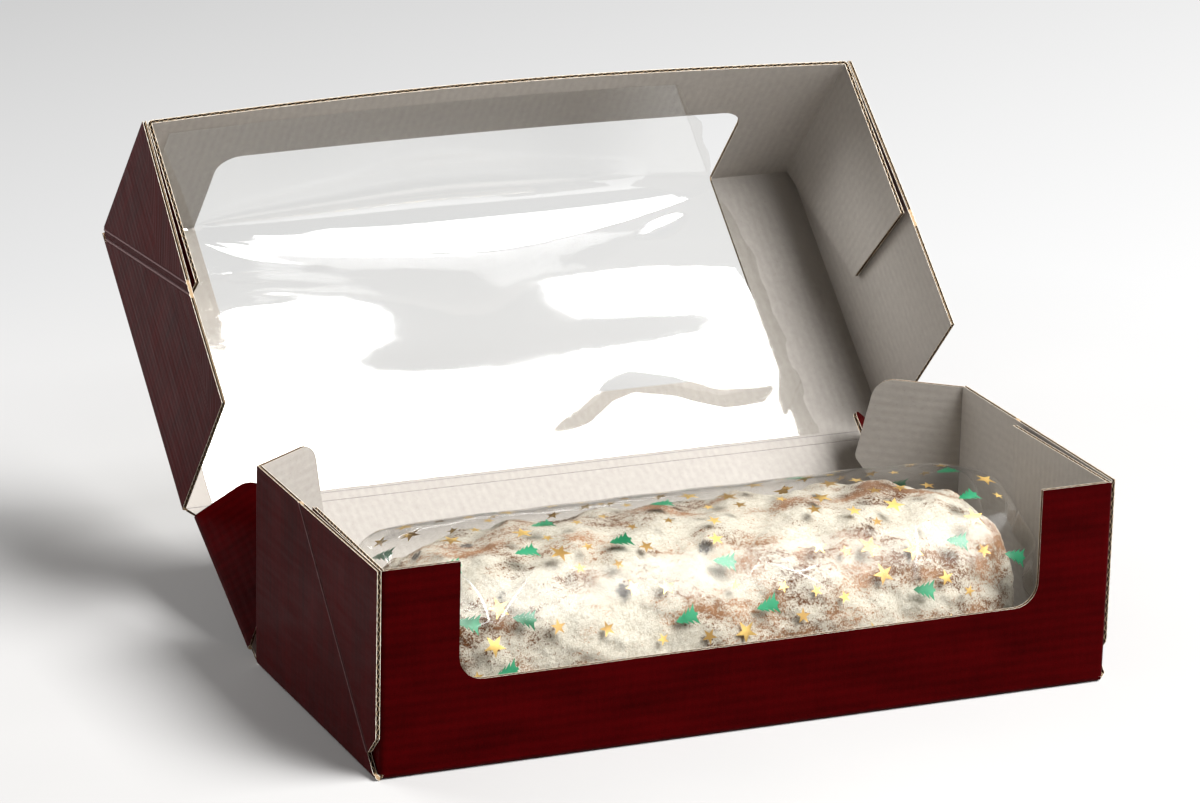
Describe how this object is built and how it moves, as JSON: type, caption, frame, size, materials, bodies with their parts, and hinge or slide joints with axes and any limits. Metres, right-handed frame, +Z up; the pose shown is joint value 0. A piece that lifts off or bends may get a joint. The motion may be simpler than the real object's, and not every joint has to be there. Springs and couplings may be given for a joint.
{
  "type": "windowed stollen gift box",
  "caption": "Corrugated gift box with a low U-shaped front cut-out, a hinged lid with a film window and folding corner flaps, holding a wrapped stollen.",
  "frame": {"origin": "on the underside of the tray, in the middle of its length and midway between the front wall's outer face and the rear wall's crease", "axes": "+X along the box's length to the right as seen from the front, +Y from the cut-out front to the hinged rear, +Z up"},
  "size_m": [0.2908, 0.2808, 0.1749],
  "materials": {
    "burgundy_board": "satin",
    "grey_liner": "matte",
    "window_film": "gloss",
    "sugared_crumb": "matte",
    "clear_wrap": "gloss"
  },
  "bodies": {
    "tray": {"tray_bottom": "grey_liner", "tray_front_wall": "burgundy_board", "tray_front_glue_flap_left": "grey_liner", "tray_front_glue_flap_right": "grey_liner", "tray_end_wall_left": "burgundy_board", "tray_end_wall_right": "burgundy_board", "tray_end_gusset_left": "burgundy_board", "tray_end_gusset_right": "burgundy_board"},
    "left_dust_flap": {"dust_flap_left": "grey_liner"},
    "right_dust_flap": {"dust_flap_right": "grey_liner"},
    "rear_wall_panel": {"rear_wall": "grey_liner"},
    "left_rear_flap": {"rear_wall_flap_left": "burgundy_board"},
    "right_rear_flap": {"rear_wall_flap_right": "burgundy_board"},
    "band": {"hinge_band": "grey_liner"},
    "lid": {"lid_top_panel": "burgundy_board", "lid_front_wall": "burgundy_board", "lid_front_glue_flap_left": "grey_liner", "lid_front_glue_flap_right": "grey_liner", "lid_end_wall_left": "burgundy_board", "lid_end_wall_right": "burgundy_board", "lid_end_gusset_left": "burgundy_board", "lid_end_gusset_right": "burgundy_board", "window_film_top": "window_film", "window_film_front": "window_film"},
    "stollen": {"stollen_loaf": "sugared_crumb", "stollen_wrap": "clear_wrap"}
  },
  "joints": [
    {"name": "rear_wall_tilt", "type": "hinge", "parent": "tray", "child": "rear_wall_panel", "pos_m": [0, 0.0608, 0.0015], "axis": [1, 0, 0], "range_deg": [-5, 62.5]},
    {"name": "left_dust_flap_fold", "type": "hinge", "parent": "tray", "child": "left_dust_flap", "pos_m": [-0.1385, 0.0572, 0.0375], "axis": [0, 0, -1], "range_deg": [-2.85, 35.51]},
    {"name": "right_dust_flap_fold", "type": "hinge", "parent": "tray", "child": "right_dust_flap", "pos_m": [0.1385, 0.0572, 0.0375], "axis": [0, 0, 1], "range_deg": [-3.17, 39.51]},
    {"name": "left_rear_flap_fold", "type": "hinge", "parent": "rear_wall_panel", "child": "left_rear_flap", "pos_m": [-0.13885, 0.06073, 0.00163], "axis": [0, 0.887, 0.4617], "range_deg": [-3.37, 42.01]},
    {"name": "right_rear_flap_fold", "type": "hinge", "parent": "rear_wall_panel", "child": "right_rear_flap", "pos_m": [0.13885, 0.06073, 0.00163], "axis": [0, -0.887, -0.4617], "range_deg": [-3.61, 45.01]},
    {"name": "band_fold", "type": "hinge", "parent": "rear_wall_panel", "child": "band", "pos_m": [0, 0.12379, 0.03429], "axis": [1, 0, 0], "range_deg": [-4, 22.5]},
    {"name": "lid_hinge", "type": "hinge", "parent": "band", "child": "lid", "pos_m": [0, 0.1269, 0.03647], "axis": [1, 0, 0], "range_deg": [-9, 54]},
    {"name": "stollen_lift", "type": "slide", "parent": "tray", "child": "stollen", "axis": [0, 0, 1], "range_m": [0, 0.21]}
  ],
  "couplings": [
    {"joint": "left_dust_flap_fold", "follows": "rear_wall_tilt", "ratio": 0.568},
    {"joint": "right_dust_flap_fold", "follows": "rear_wall_tilt", "ratio": 0.632},
    {"joint": "left_rear_flap_fold", "follows": "rear_wall_tilt", "ratio": 0.672},
    {"joint": "right_rear_flap_fold", "follows": "rear_wall_tilt", "ratio": 0.72}
  ]
}
